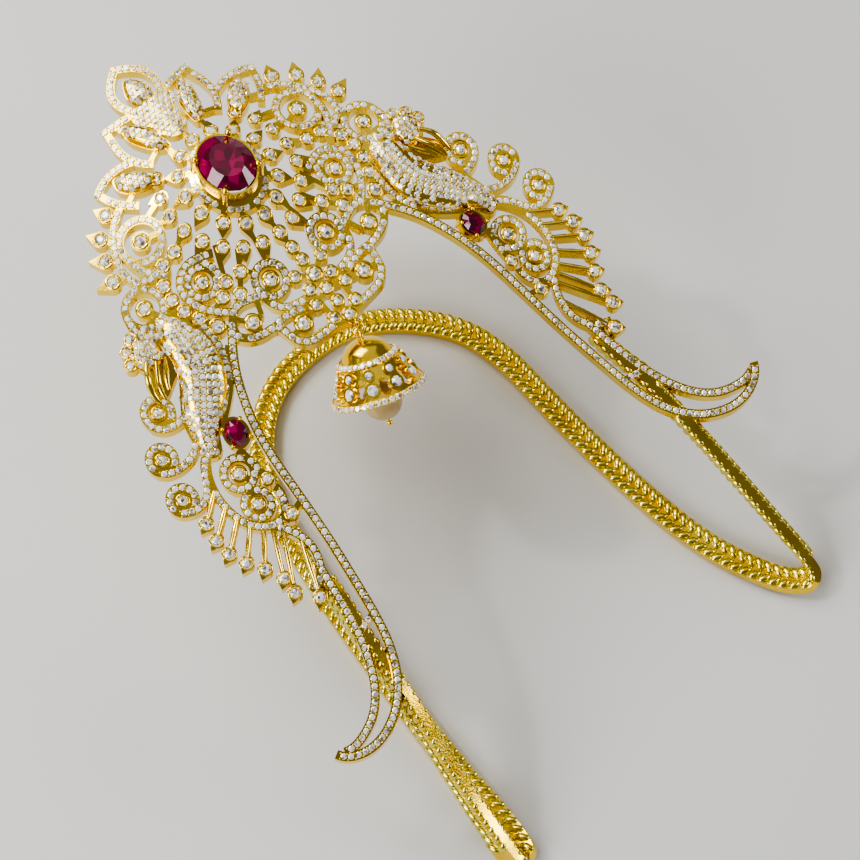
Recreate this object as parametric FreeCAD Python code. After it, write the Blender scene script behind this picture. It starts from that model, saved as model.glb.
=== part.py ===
import FreeCAD, Part
import os
from math import atan2, cos, hypot, pi, radians, sin, sqrt

V = FreeCAD.Vector
os.makedirs("parts", exist_ok=True)

# A vanki armlet in an inverted V, lying on its back band. X runs across, +Y to the crest.
# x and y below are plan positions from the middle of the front; each row is mirrored to the left.

# Driving dimensions, mm
LENGTH_SHIFT = 41.0
FRONT_HEIGHT = 61.5
SHEET = 2.2
STRIP = 1.45
BAND_WIDTH = 4.6
BAND_THICK = 1.7
RUBY_WIDE = 9.0
RUBY_TALL = 11.0
SMALL_RUBY_WIDE = 3.8
SMALL_RUBY_TALL = 4.8
SMALL_RUBY_X = 28.0
SMALL_RUBY_Y = -30.3
SMALL_RUBY_TURN = 12
STONE_SLACK = 0.12
STONE_LIFT = 0.16
PEARL = 7.0

# Height of the front's face over its length, level by the central ruby and falling to the legs
CREST_FALL = [
    # y, height
    (44.0, -6.4),
    (32.0, -5.6),
    (16.0, -5.0),
    (0.0, -5.6),
    (-12.0, -7.6),
    (-22.0, -10.6),
    (-32.0, -14.0),
    (-45.0, -18.2),
    (-60.0, -23.6),
    (-80.0, -31.0),
    (-96.0, -37.0),
]


def along(table, y):
    """Height of a table of stations at y, eased between its rows."""
    rows = sorted(table)
    if y <= rows[0][0]:
        return rows[0][1]
    for k in range(len(rows) - 1):
        (y0, u0), (y1, u1) = rows[k], rows[k + 1]
        if y <= y1:
            t = (y - y0) / (y1 - y0)
            ya, ua = rows[max(k - 1, 0)]
            yb, ub = rows[min(k + 2, len(rows) - 1)]
            m0 = (u1 - ua) / (y1 - ya) * (y1 - y0)
            m1 = (ub - u0) / (yb - y0) * (y1 - y0)
            return ((2 * t**3 - 3 * t**2 + 1) * u0 + (t**3 - 2 * t**2 + t) * m0
                    + (3 * t**2 - 2 * t**3) * u1 + (t**3 - t**2) * m1)
    return rows[-1][1]


def face_height(x, y):
    """Top of the front's sheet above the table at a plan position."""
    side = min(abs(x), 32.0)
    drop = 0.0035 * side**2
    dome = 5.0 * 2.718281828 ** (-(x**2 + (y - 1.0) ** 2) / (2 * 8.0**2))
    return FRONT_HEIGHT + along(CREST_FALL, y) - drop + dome


def pt(x, y, z=0.0):
    return V(x, y + LENGTH_SHIFT, z)


# Outline pieces, drawn flat and later cut to the curved sheet

def spline(points):
    curve = Part.BSplineCurve()
    curve.interpolate(points)
    return curve


def strip(path, wide):
    """A band of even width along a smooth path."""
    spine = spline([pt(x, y) for x, y in path])
    count = 3 * len(path)
    a, b = spine.FirstParameter, spine.LastParameter
    left, right = [], []
    for k in range(count + 1):
        t = a + (b - a) * k / count
        p = spine.value(t)
        d = spine.tangent(t)[0]
        n = V(-d.y, d.x, 0).normalize() * (wide / 2)
        left.append(p + n)
        right.append(p - n)
    edges = [spline(left).toShape(),
             Part.makeLine(left[-1], right[-1]),
             spline(right[::-1]).toShape(),
             Part.makeLine(right[0], left[0])]
    return Part.Face(Part.Wire(edges))


def disc(x, y, r):
    return Part.Face(Part.Wire(Part.makeCircle(r, pt(x, y))))


def ring(x, y, r, wide=STRIP):
    return disc(x, y, r + wide / 2).cut(disc(x, y, r - wide / 2))


def oval(x, y, rx, ry, turn=0.0):
    if rx >= ry:
        e = Part.Ellipse(V(0, 0, 0), rx, ry).toShape()
    else:
        e = Part.Ellipse(V(0, 0, 0), ry, rx).toShape()
        e.rotate(V(0, 0, 0), V(0, 0, 1), 90)
    e.rotate(V(0, 0, 0), V(0, 0, 1), turn)
    e.translate(pt(x, y))
    return Part.Face(Part.Wire(e))


def drop(x, y, r, tip, toward):
    """A teardrop: a round of radius r with a point at distance tip in direction toward, degrees."""
    a = radians(toward)
    half = pi / 2 - asin_safe(r / tip)
    p1 = V(r * cos(a + half), r * sin(a + half), 0)
    p2 = V(r * cos(a - half), r * sin(a - half), 0)
    back = V(-r * cos(a), -r * sin(a), 0)
    point = V(tip * cos(a), tip * sin(a), 0)
    edges = [Part.Arc(p1, back, p2).toShape(), Part.makeLine(p2, point), Part.makeLine(point, p1)]
    face = Part.Face(Part.Wire(edges))
    face.translate(pt(x, y))
    return face


def asin_safe(v):
    return atan2(v, sqrt(max(1e-9, 1 - v * v)))


def blob(points):
    """A smooth closed outline through plan points."""
    curve = Part.BSplineCurve()
    curve.interpolate([pt(x, y) for x, y in points], PeriodicFlag=True)
    return Part.Face(Part.Wire(curve.toShape()))


def poly(points):
    return Part.Face(Part.makePolygon([pt(x, y) for x, y in points + points[:1]]))


# Two rings of teardrop settings about the central ruby, on an oval
RING_MIDDLE = 0.9
RINGS = {
    # name: count, half width, half height, round radius, tip, stone
    "inner": (14, 8.1, 9.1, 1.35, 2.5, 1.75),
    "outer": (22, 12.0, 12.7, 1.3, 2.3, 1.65),
}

# Scrolls: a round of pavé about one stone
SCROLLS = [
    # x, y, ring radius, stone, eye radius
    (18.2, 3.4, 3.7, 1.9, 1.75),
    (25.6, -5.4, 3.3, 1.8, 1.6),
    (15.5, -9.0, 2.5, 1.8, 1.4),
    (6.45, -16.3, 2.7, 1.9, 1.6),
    (35.7, -19.4, 2.3, 1.6, 1.4),
    (40.5, -25.5, 2.15, 1.6, 1.4),
    (42.4, -32.5, 2.15, 1.6, 1.4),
    (32.2, -35.3, 2.6, 1.8, 1.5),
    (33.2, -41.0, 2.3, 1.6, 1.4),
]

# Short gold bridges that join each scroll's eye to its round
EYE_TURN = [200, 250, 300, 330, 200, 190, 180, 250, 60]

# Single round stones in cups
CUPS = [
    # x, y, stone, cup radius
    (12.5, -11.6, 1.7, 1.35),
    (9.5, -12.1, 1.7, 1.3),
    (14.6, -13.1, 1.7, 1.35),
    (12.0, -14.7, 1.7, 1.35),
    (13.6, -19.4, 1.9, 1.6),
    (7.1, -25.0, 2.0, 1.75),
    (3.0, -18.6, 1.5, 1.2),
    (2.5, -21.7, 1.6, 1.25),
    (3.4, -24.2, 1.5, 1.2),
    (2.5, -27.7, 1.6, 1.3),
    (15.4, -2.1, 1.7, 1.35),
    (18.4, -2.4, 1.7, 1.35),
    (20.7, -5.0, 1.7, 1.3),
    (21.3, -7.6, 1.7, 1.35),
    (21.0, -10.4, 1.7, 1.35),
    (19.9, -13.0, 1.7, 1.35),
    (18.5, -15.9, 1.9, 1.5),
    (30.0, -45.9, 1.7, 1.3),
    (29.2, -39.1, 1.5, 1.2),
]

# Cups on the middle line
MIDDLE_CUPS = [
    (0.0, -14.8, 1.5, 1.25),
    (0.0, -17.3, 1.5, 1.25),
    (0.0, -20.2, 1.9, 1.6),
    (0.0, -23.2, 1.6, 1.3),
    (0.0, -25.9, 1.5, 1.25),
    (0.0, -28.8, 1.7, 1.4),
]

# Pointed settings round the shoulder, one stone each, with the way their points turn
SPIKES = [
    # x, y, point direction, tip length
    (19.3, 11.2, 70, 2.6),
    (22.8, 8.7, 62, 2.8),
    (24.8, 5.3, 45, 2.9),
    (26.3, 1.7, 20, 3.1),
]

# Pavé strips: smooth paths of the front
STRIPS = {
    "inner rail": (1.55, [(16.6, -17.4), (18.4, -19.4), (20.7, -22.4), (22.6, -25.8), (24.2, -29.6), (25.4, -33.6),
                         (26.3, -38.4), (26.9, -43.4), (27.5, -48.4), (28.2, -53.6), (29.1, -58.8), (30.1, -64.2),
                         (31.2, -69.0), (32.8, -73.4), (35.1, -77.1), (38.0, -79.9), (41.2, -81.6), (44.6, -82.4),
                         (48.0, -82.0), (50.4, -80.7), (51.5, -79.2)]),
    "outer rail": (1.5, [(32.3, -54.6), (32.9, -58.0), (33.6, -62.0), (34.6, -66.2), (36.0, -70.2), (37.8, -73.8),
                        (40.1, -76.8), (42.7, -78.8), (45.5, -79.9), (48.2, -80.3), (50.2, -79.9)]),
    "crest side": (1.4, [(3.0, 21.9), (3.9, 24.0), (4.0, 26.4), (2.8, 28.6), (1.1, 30.1), (-0.3, 31.0)]),
    "petal b": (1.3, [(3.6, 21.9), (6.6, 22.4), (9.2, 22.7)]),
    "petal b side": (1.3, [(8.9, 23.1), (9.6, 20.2), (9.9, 17.2), (9.1, 14.2), (7.5, 11.8)]),
    "petal c": (1.3, [(9.6, 14.9), (12.0, 15.9), (14.8, 16.0), (17.8, 14.9)]),
    "petal c side": (1.3, [(17.6, 15.4), (17.2, 12.8), (16.0, 10.4), (14.2, 8.2)]),
    "shoulder link": (1.2, [(16.6, 10.4), (18.6, 9.5), (21.0, 7.4), (22.9, 4.6), (23.9, 1.6), (23.6, -1.2)]),
    "scroll tail": (1.4, [(21.8, 3.4), (21.6, 0.2), (20.4, -2.2), (18.6, -4.6)]),
    "shoulder arc": (1.4, [(20.6, -3.4), (22.2, -2.0), (24.6, -1.9)]),
    "shoulder drop": (1.4, [(28.7, -4.6), (29.2, -7.0), (28.4, -9.2)]),
    "c scroll": (1.4, [(10.9, -6.9), (13.0, -5.8), (16.0, -5.2), (18.6, -6.8), (19.2, -9.4), (18.3, -12.3),
                      (16.4, -14.7), (15.0, -16.0)]),
    "c scroll in": (1.2, [(13.4, -6.0), (12.6, -8.4), (12.6, -11.0)]),
    "lower arc": (1.4, [(9.0, -17.4), (11.2, -16.4), (14.0, -15.8), (16.2, -17.2), (17.0, -19.4)]),
    "round tail": (1.4, [(9.1, -17.0), (8.9, -19.4), (7.4, -21.3), (4.8, -22.2), (2.2, -22.6)]),
    "hem": (1.4, [(17.2, -19.0), (15.6, -21.0), (13.2, -22.0), (11.0, -22.6), (10.3, -24.4), (9.9, -26.2),
                  (8.2, -27.9), (5.8, -28.4), (3.2, -28.6), (0.0, -29.6)]),
    "hem in": (1.2, [(11.4, -22.4), (9.4, -22.2), (7.2, -22.6), (4.6, -23.4)]),
    "body hem": (1.3, [(20.8, -10.6), (20.4, -13.6), (20.3, -16.8), (21.1, -20.2), (23.3, -23.8), (26.6, -26.4),
                      (29.8, -28.4)]),
    "curl one": (1.3, [(31.6, -22.4), (34.0, -22.8), (36.8, -22.0), (38.0, -20.4)]),
    "curl two": (1.3, [(33.6, -26.6), (36.2, -28.2), (39.4, -28.4), (41.8, -27.4)]),
    "curl three": (1.3, [(34.0, -29.4), (36.4, -31.4), (38.6, -34.4), (41.2, -35.2), (43.6, -34.2)]),
    "great arc": (1.4, [(34.4, -29.8), (36.5, -32.6), (37.6, -36.0), (37.6, -39.6), (36.5, -42.8), (34.0, -45.0),
                       (31.3, -45.3), (29.6, -43.6), (29.1, -40.9)]),
    "small arc": (1.3, [(29.6, -32.4), (29.3, -35.0), (29.2, -38.0)]),
    "fan loop": (1.4, [(34.6, -44.4), (32.6, -46.8), (31.4, -49.4), (31.1, -52.0), (31.9, -54.6), (33.8, -56.6),
                      (36.2, -57.6)]),
    "strut": (1.0, [(26.6, -45.3), (31.6, -46.2)]),
    "low strut": (0.9, [(29.9, -66.2), (34.4, -67.4)]),
    "rail start": (1.3, [(21.0, -21.0), (19.2, -19.4)]),
}

# Feather wires of the fan: root on the arc, stone at the tip
FEATHERS = [
    # root x, root y, stone x, stone y
    (37.2, -34.6, 42.1, -37.9),
    (37.4, -37.6, 42.7, -41.0),
    (37.2, -40.2, 42.6, -44.0),
    (36.6, -42.6, 41.4, -46.9),
    (35.4, -44.6, 39.7, -49.6),
    (34.2, -45.6, 38.3, -52.7),
    (32.9, -46.6, 38.5, -55.6),
    (31.6, -49.8, 35.8, -58.9),
]
FEATHER_STONE = 1.8
FEATHER_CUP = 1.2

# Plain wires between the settings of the medallion
WIRES = [
    (0.8, [(0.0, -8.2), (0.0, -30.0)]),
    (0.8, [(3.6, -7.6), (5.0, -13.6)]),
    (0.8, [(9.2, -12.2), (7.6, -14.0)]),
    (0.9, [(7.4, -9.2), (9.5, -12.1), (12.0, -14.7)]),
    (0.9, [(9.8, -6.2), (12.5, -11.6), (14.6, -13.1), (16.8, -13.6)]),
    (0.9, [(11.2, -3.4), (13.6, -5.8)]),
    (0.9, [(12.0, -0.8), (15.4, -2.1), (18.4, -2.4), (20.7, -5.0), (21.3, -7.6), (21.0, -10.4), (19.9, -13.0),
           (18.5, -15.9), (17.0, -17.6)]),
    (0.9, [(11.8, 2.8), (14.6, 3.2)]),
    (0.9, [(11.0, 6.4), (14.8, 5.6)]),
    (0.9, [(9.0, 9.6), (13.0, 10.8), (16.0, 9.6)]),
    (0.9, [(3.8, 12.8), (3.9, 9.4)]),
    (0.9, [(5.0, 13.6), (8.0, 12.4)]),
    (0.9, [(3.3, 15.4), (2.2, 15.8)]),
    (0.9, [(7.0, 20.6), (7.4, 22.4)]),
    (0.9, [(17.0, -13.4), (20.2, -13.0)]),
    (0.9, [(22.0, -7.6), (24.0, -8.6)]),
    (0.9, [(3.0, -18.6), (0.0, -20.2)]),
    (0.9, [(3.0, -18.6), (4.6, -17.8)]),
    (0.9, [(13.6, -19.4), (13.4, -22.0)]),
    (0.9, [(13.6, -19.4), (15.6, -17.0)]),
    (0.9, [(10.4, -16.6), (11.6, -19.4), (13.4, -19.4)]),
    (0.9, [(7.1, -25.0), (7.0, -22.6)]),
    (0.9, [(7.1, -25.0), (3.4, -24.2), (0.0, -23.2)]),
    (0.9, [(7.1, -25.0), (9.9, -25.4)]),
    (0.9, [(2.5, -21.7), (2.5, -27.7)]),
]

# Solid fields of fine pavé, each with the rise of its dome over the sheet
FIELDS = {
    # name: (rise, outline)
    "leaf b": (1.5, [(6.9, 21.2), (7.5, 18.6), (6.6, 15.6), (4.6, 12.6), (3.3, 12.0), (3.0, 14.6), (3.6, 17.6),
                     (5.0, 20.2)]),
    "leaf c": (1.5, [(14.6, 14.7), (14.8, 12.2), (13.0, 10.0), (10.4, 8.6), (8.8, 8.6), (9.0, 10.8), (10.6, 13.0),
                     (12.6, 14.6)]),
    "neck": (0.0, [(22.4, -8.6), (25.0, -7.6), (28.6, -8.0), (29.6, -9.6), (27.6, -11.4), (25.6, -14.4),
                   (22.6, -14.4), (21.3, -11.2)]),
    "head": (1.5, [(28.2, -9.8), (30.0, -8.0), (32.2, -8.6), (33.2, -11.0), (32.4, -13.4), (30.2, -14.2),
                   (28.2, -12.8)]),
    "body": (0.0, [(24.2, -8.8), (21.9, -11.6), (20.9, -16.0), (21.2, -20.0), (23.4, -23.6), (27.0, -26.0),
                   (30.0, -28.2), (32.4, -31.0), (34.4, -30.2), (34.6, -26.6), (33.4, -22.8), (31.2, -20.0),
                   (28.9, -17.0), (27.7, -13.6), (27.5, -10.6), (26.4, -8.8)]),
    "beak": (0.0, [(28.0, -13.0), (31.6, -13.4), (33.6, -15.6), (34.6, -18.4), (33.2, -18.6), (30.6, -17.6),
                   (28.2, -16.2)]),
}

# The peacock's full body, round over the sheet from the neck down to the tail
BODY = [
    # x, y, half width, half height
    (25.4, -8.6, 0.9, 0.8),
    (24.9, -11.4, 2.5, 1.5),
    (24.7, -15.6, 3.6, 2.0),
    (25.4, -19.2, 4.0, 2.1),
    (27.5, -22.2, 3.9, 2.1),
    (30.0, -24.8, 3.2, 1.9),
    (32.1, -27.4, 2.1, 1.5),
    (33.3, -30.2, 0.9, 0.8),
]
BODY_LIFT = 0.2
CREST_LEAF = (1.1, [(0.0, 27.9), (1.5, 26.6), (2.2, 24.6), (1.8, 22.6)])
CREST_FIELD = [(3.6, 22.0), (4.4, 19.8), (2.9, 17.6), (2.6, 15.2), (1.0, 12.8)]

# Peacock crest stones
CREST_STONES = [
    # x, y
    (30.8, -7.4),
    (32.7, -8.6),
    (33.7, -10.7),
]


def mirrored(face):
    return face.mirror(V(0, 0, 0), V(1, 0, 0))


def wire_run(path, wide):
    """Straight plain wires from point to point."""
    runs = []
    for (x0, y0), (x1, y1) in zip(path, path[1:]):
        length = hypot(x1 - x0, y1 - y0)
        nx, ny = -(y1 - y0) / length * wide / 2, (x1 - x0) / length * wide / 2
        runs.append(poly([(x0 + nx, y0 + ny), (x1 + nx, y1 + ny), (x1 - nx, y1 - ny), (x0 - nx, y0 - ny)]))
    return runs


stones = []
faces = []
middle = []

middle.append(oval(0, RING_MIDDLE, 6.4, 7.5))
for name, (count, rx, ry, r, tip, stone) in RINGS.items():
    for k in range(count):
        turn = -90 + 360 * k / count
        x, y = rx * cos(radians(turn)), RING_MIDDLE + ry * sin(radians(turn))
        if x < -0.01 or (name == "outer" and turn > 50):
            continue
        out = 180 / pi * atan2(ry * sin(radians(turn)), rx * cos(radians(turn)))
        target = middle if x < 0.01 else faces
        target.append(drop(x, y, r, tip, out))
        stones.append(("ring", x, y, stone))
        if name == "inner":
            target += wire_run([(0.72 * x, RING_MIDDLE + 0.72 * (y - RING_MIDDLE)), (x, y)], 1.0)

for (x, y, r, stone, eye), turn in zip(SCROLLS, EYE_TURN):
    faces.append(ring(x, y, r))
    faces.append(disc(x, y, eye))
    a = radians(turn)
    faces += wire_run([(x, y), (x + r * cos(a), y + r * sin(a))], 1.1)
    stones.append(("scroll", x, y, stone))

for x, y, stone, r in CUPS:
    faces.append(disc(x, y, r))
    stones.append(("cup", x, y, stone))

for x, y, stone, r in MIDDLE_CUPS:
    middle.append(disc(x, y, r))
    stones.append(("cup", x, y, stone))

for x, y, turn, tip in SPIKES:
    faces.append(drop(x, y, 1.45, tip, turn))
    a = radians(turn)
    faces += wire_run([(x, y), (x - 2.6 * cos(a), y - 2.6 * sin(a))], 1.0)
    stones.append(("spike", x, y, 1.8))

for name, (wide, path) in STRIPS.items():
    faces.append(strip(path, wide))

for x0, y0, x1, y1 in FEATHERS:
    faces += wire_run([(x0, y0), (x1, y1)], 0.8)
    faces.append(drop(x1, y1, FEATHER_CUP, 2.0, 180 / pi * atan2(y1 - y0, x1 - x0) * 0.6))
    stones.append(("feather", x1, y1, FEATHER_STONE))

for wide, path in WIRES:
    faces += wire_run(path, wide)

for name, (rise, outline) in FIELDS.items():
    faces.append(blob(outline))
crest = CREST_LEAF[1] + CREST_FIELD
middle.append(blob(crest + [(-x, y) for x, y in crest[:0:-1]]))

faces.append(oval(SMALL_RUBY_X, SMALL_RUBY_Y, SMALL_RUBY_WIDE / 2 + 0.3, SMALL_RUBY_TALL / 2 + 0.3, SMALL_RUBY_TURN))
for x, y in CREST_STONES:
    faces.append(disc(x, y, 1.15))
    stones.append(("crest", x, y, 1.6))


def upward(shape):
    """The faces of a shape with their normals up, so that neighbours merge into one."""
    out = []
    for f in shape.Faces:
        if f.normalAt(0, 0).z < 0:
            f = f.reversed()
        out.append(f)
    return out


def merged(shapes):
    """One flat face over all the pieces, their common edges gone."""
    flat = [f for shape in shapes for f in upward(shape)]
    return Part.Shell(upward(flat[0].multiFuse(flat[1:]))).removeSplitter()


half = merged(faces)
plan = merged([half, mirrored(half)] + middle)

holes = []
for kind, x, y, stone in stones:
    for side in ((1, -1) if x > 0.01 else (1,)):
        holes.append(disc(side * x, y, stone / 2 + STONE_SLACK / 2))
holes.append(oval(0, RING_MIDDLE, 3.4, 4.4))
for side in (1, -1):
    holes.append(oval(side * SMALL_RUBY_X, SMALL_RUBY_Y, 1.2, 1.7, side * SMALL_RUBY_TURN))
plan = plan.cut(Part.Compound(holes))

# The front's curved face, its underside a sheet's thickness below
GRID = 4.0
COLUMNS, ROWS = 29, 33
points = []
for i in range(COLUMNS):
    x = (i - (COLUMNS - 1) / 2) * GRID
    points.append([pt(x, -90 + j * GRID, face_height(x, -90 + j * GRID)) for j in range(ROWS)])
skin = Part.BSplineSurface()
skin.interpolate(points)
slab = skin.toShape().extrude(V(0, 0, -SHEET))
column = Part.Compound([f.extrude(V(0, 0, 90)) for f in plan.Faces])
sheet = column.common(slab)


# Things seated on the curved front

def slope(x, y):
    """The front's upward normal at a plan position."""
    e = 0.4
    nx = (face_height(x - e, y) - face_height(x + e, y)) / (2 * e)
    ny = (face_height(x, y - e) - face_height(x, y + e)) / (2 * e)
    return V(nx, ny, 1).normalize()


def seat(shape, x, y, lift=0.0, turn=0.0):
    """Turn a shape made at the origin to the front's slope and set it there."""
    n = slope(x, y)
    shape.Placement = FreeCAD.Placement(pt(x, y, face_height(x, y)) + n * lift,
                                        FreeCAD.Rotation(V(0, 0, 1), n) * FreeCAD.Rotation(V(0, 0, 1), turn))
    return shape


def pillow(outline, rise, side=1):
    """A low dome over an outline, its foot sunk in the sheet."""
    cx = sum(x for x, y in outline) / len(outline)
    cy = sum(y for x, y in outline) / len(outline)
    wires = []
    for share, level in ((0.95, -0.9), (0.95, 0.12), (0.84, 0.62 * rise), (0.58, 0.92 * rise), (0.2, rise)):
        curve = Part.BSplineCurve()
        curve.interpolate([V(side * share * (x - cx), share * (y - cy), level) for x, y in outline],
                          PeriodicFlag=True)
        wires.append(Part.Wire(curve.toShape()))
    return seat(Part.makeLoft(wires, True, False), side * cx, cy)


def spindle(rows, lift, side=1):
    """A full round form along a line of the front, oval across it."""
    wires = []
    for k, (x, y, wide, high) in enumerate(rows):
        x0, y0 = rows[max(k - 1, 0)][:2]
        x1, y1 = rows[min(k + 1, len(rows) - 1)][:2]
        n = slope(side * x, y)
        ahead = pt(side * x1, y1, face_height(x1, y1)) - pt(side * x0, y0, face_height(x0, y0))
        across = n.cross(ahead).normalize()
        middle_at = pt(side * x, y, face_height(x, y)) + n * lift
        ring_points = []
        for j in range(12):
            a = 2 * pi * j / 12
            ring_points.append(middle_at + across * (wide * cos(a)) + n * (high * sin(a)))
        curve = Part.BSplineCurve()
        curve.interpolate(ring_points, PeriodicFlag=True)
        wires.append(Part.Wire(curve.toShape()))
    return Part.makeLoft(wires, True, False)


def gem(wide, tall, crown, depth, table=0.56, sides=8):
    """A faceted stone with its girdle at height 0: table, crown, thin girdle and point below."""
    def round_at(share, z, shift=0.0):
        return [V(wide / 2 * share * cos(2 * pi * (k + shift) / sides),
                  tall / 2 * share * sin(2 * pi * (k + shift) / sides), z) for k in range(sides)]
    top = round_at(table, crown, 0.5)
    girdle = round_at(1.0, 0.0)
    low = round_at(1.0, -0.06)
    culet = V(0, 0, -depth)
    faces = [Part.Face(Part.makePolygon(top + top[:1]))]
    for k in range(sides):
        n = (k + 1) % sides
        faces.append(Part.Face(Part.makePolygon([top[k], girdle[k], girdle[n], top[k]])))
        faces.append(Part.Face(Part.makePolygon([top[k], girdle[n], top[n], top[k]])))
        faces.append(Part.Face(Part.makePolygon([girdle[k], low[k], low[n], girdle[n], girdle[k]])))
        faces.append(Part.Face(Part.makePolygon([low[k], culet, low[n], low[k]])))
    solid = Part.Solid(Part.Shell(faces))
    if solid.Volume < 0:
        solid.reverse()
    return solid


def oval_post(rx, ry, low, high):
    """A straight solid of oval section between two heights."""
    e = Part.Ellipse(V(0, 0, 0), max(rx, ry), min(rx, ry)).toShape()
    if ry > rx:
        e.rotate(V(0, 0, 0), V(0, 0, 1), 90)
    e.translate(V(0, 0, low))
    return Part.Face(Part.Wire(e)).extrude(V(0, 0, high - low))


COLLET_WALL = 0.32
GIRDLE_SLACK = 0.12


def collet(wide, tall, lift, girdle, prong, claw):
    """A raised oval setting at the origin: a wall round the stone and four claws that lean over its girdle."""
    rx, ry = wide / 2 + GIRDLE_SLACK, tall / 2 + GIRDLE_SLACK
    wall = oval_post(rx + COLLET_WALL, ry + COLLET_WALL, lift, girdle - 0.3)
    wall = wall.cut(oval_post(rx, ry, lift - 1, girdle + 1))
    claws = []
    for turn in (45, 135, 225, 315):
        a = radians(turn)
        d = V(cos(a), sin(a), 0)
        edge = claw + 0.08 + 1 / sqrt((d.x / rx) ** 2 + (d.y / ry) ** 2)
        foot = d * edge + V(0, 0, lift)
        claws.append(Part.makeCylinder(claw, girdle + prong - lift, foot))
        claws.append(Part.makeSphere(claw * 1.12, foot + V(0, 0, girdle + prong - lift) - d * claw * 0.6))
    return wall.multiFuse(claws)


gold = [sheet]
for name, (rise, outline) in FIELDS.items():
    if rise:
        for side in (1, -1):
            gold.append(pillow(outline, rise, side))
for side in (1, -1):
    gold.append(spindle(BODY, BODY_LIFT, side))
rise, edge = CREST_LEAF
gold.append(pillow(edge + [(-x, y) for x, y in edge[:0:-1]], rise))

# The rubies and their settings
RUBY_GIRDLE = 2.7
centre_ruby = seat(gem(RUBY_WIDE, RUBY_TALL, 1.6, 3.4, 0.6, 16), 0, RING_MIDDLE, RUBY_GIRDLE)
centre_collet = seat(collet(RUBY_WIDE, RUBY_TALL, -1.0, RUBY_GIRDLE, 0.7, 0.55), 0, RING_MIDDLE)
gold.append(centre_collet)
SMALL_GIRDLE = 1.0
small = {}
for side, name in ((1, "right_ruby"), (-1, "left_ruby")):
    spot = (side * SMALL_RUBY_X, SMALL_RUBY_Y)
    turn = side * SMALL_RUBY_TURN
    small[name] = seat(gem(SMALL_RUBY_WIDE, SMALL_RUBY_TALL, 0.8, 1.7, 0.6, 12), *spot, SMALL_GIRDLE, turn)
    gold.append(seat(collet(SMALL_RUBY_WIDE, SMALL_RUBY_TALL, -1.0, SMALL_GIRDLE, 0.35, 0.32), *spot, 0, turn))

# The back band: a flat strip down from the legs, round the turns and over the table in a wide arch
RISER = [
    # x, y, height of the strip's middle, then the way across the strip: x, y, height
    (32.9, -57.6, 32.3, -0.14, -0.40, 0.91),
    (34.0, -65.0, 29.9, -0.14, -0.42, 0.90),
    (34.9, -72.0, 27.2, -0.16, -0.48, 0.87),
    (35.6, -79.0, 23.9, -0.17, -0.54, 0.82),
    (36.5, -86.0, 19.4, -0.18, -0.60, 0.77),
    (37.5, -93.6, 13.9, -0.20, -0.64, 0.74),
    (38.4, -101.0, 8.8, -0.24, -0.66, 0.71),
    (39.0, -106.4, 5.6, -0.32, -0.66, 0.68),
    (39.2, -109.4, 3.7, -0.40, -0.64, 0.66),
    (38.5, -111.0, 2.5, -0.48, -0.63, 0.60),
]
ARCH_RIGHT = [
    # x, y, lift of the middle over the strip's half thickness, lean of its inner edge
    (37.0, -111.3, 1.3, 0.46),
    (34.8, -109.7, 0.8, 0.25),
    (31.8, -104.4, 0.4, 0.1),
    (29.1, -96.4, 0.08, 0.0),
    (27.5, -87.4, 0.02, 0.0),
    (26.8, -77.4, 0.0, 0.0),
    (26.7, -66.6, 0.0, 0.0),
    (27.0, -53.8, 0.0, 0.0),
    (27.4, -41.0, 0.0, 0.0),
    (25.7, -31.9, 0.0, 0.0),
    (21.9, -25.2, 0.0, 0.0),
    (15.8, -18.9, 0.0, 0.0),
    (8.6, -15.0, 0.0, 0.0),
    (0.4, -13.8, 0.0, 0.0),
]
ARCH_LEFT = [
    (37.0, -110.8, 1.3, 0.46),
    (35.9, -108.0, 0.8, 0.25),
    (35.2, -102.0, 0.4, 0.1),
    (34.8, -93.6, 0.08, 0.0),
    (34.0, -85.0, 0.02, 0.0),
    (32.9, -76.0, 0.0, 0.0),
    (31.4, -65.4, 0.0, 0.0),
    (29.6, -54.0, 0.0, 0.0),
    (27.2, -42.4, 0.0, 0.0),
    (24.8, -32.6, 0.0, 0.0),
    (20.4, -24.6, 0.0, 0.0),
    (14.2, -18.2, 0.0, 0.0),
    (7.2, -14.7, 0.0, 0.0),
]


def band_stations():
    """Middle and way across of the strip at each station, from the right leg round to the left."""
    rows = [(pt(x, y, z), V(wx, wy, wz)) for x, y, z, wx, wy, wz in RISER]
    for x, y, lift, lean in ARCH_RIGHT:
        rows.append((pt(x, y, BAND_THICK / 2 + lift), lean))
    for x, y, lift, lean in ARCH_LEFT[::-1]:
        rows.append((pt(-x, y, BAND_THICK / 2 + lift), lean))
    for x, y, z, wx, wy, wz in RISER[::-1]:
        rows.append((pt(-x, y, z), V(-wx, wy, wz)))
    out = []
    for k, (p, across) in enumerate(rows):
        ahead = rows[min(k + 1, len(rows) - 1)][0] - rows[max(k - 1, 0)][0]
        if not isinstance(across, FreeCAD.Vector):
            level = V(-ahead.y, ahead.x, 0).normalize()
            across = V(level.x, level.y, across)
        ahead.normalize()
        across = (across - ahead * across.dot(ahead)).normalize()
        out.append((p, ahead, across))
    return out


def band_section(p, ahead, across, wide, thick):
    up = across.cross(ahead).normalize()
    a, b = across * (wide / 2), up * (thick / 2)
    return Part.makePolygon([p + a + b, p - a + b, p - a - b, p + a - b, p + a + b])


band = Part.makeLoft([band_section(*s, BAND_WIDTH, BAND_THICK) for s in band_stations()], True, False)
gold.append(band)

# The bell drop on its jump ring, tipped forwards and a little to the left
DROP_AXIS = V(-0.30, -0.76, -0.575).normalize()
LOOP_R, LOOP_WIRE = 0.85, 0.32
RING_R, RING_WIRE = 1.1, 0.3
LINK_GAP = 0.1


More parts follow.
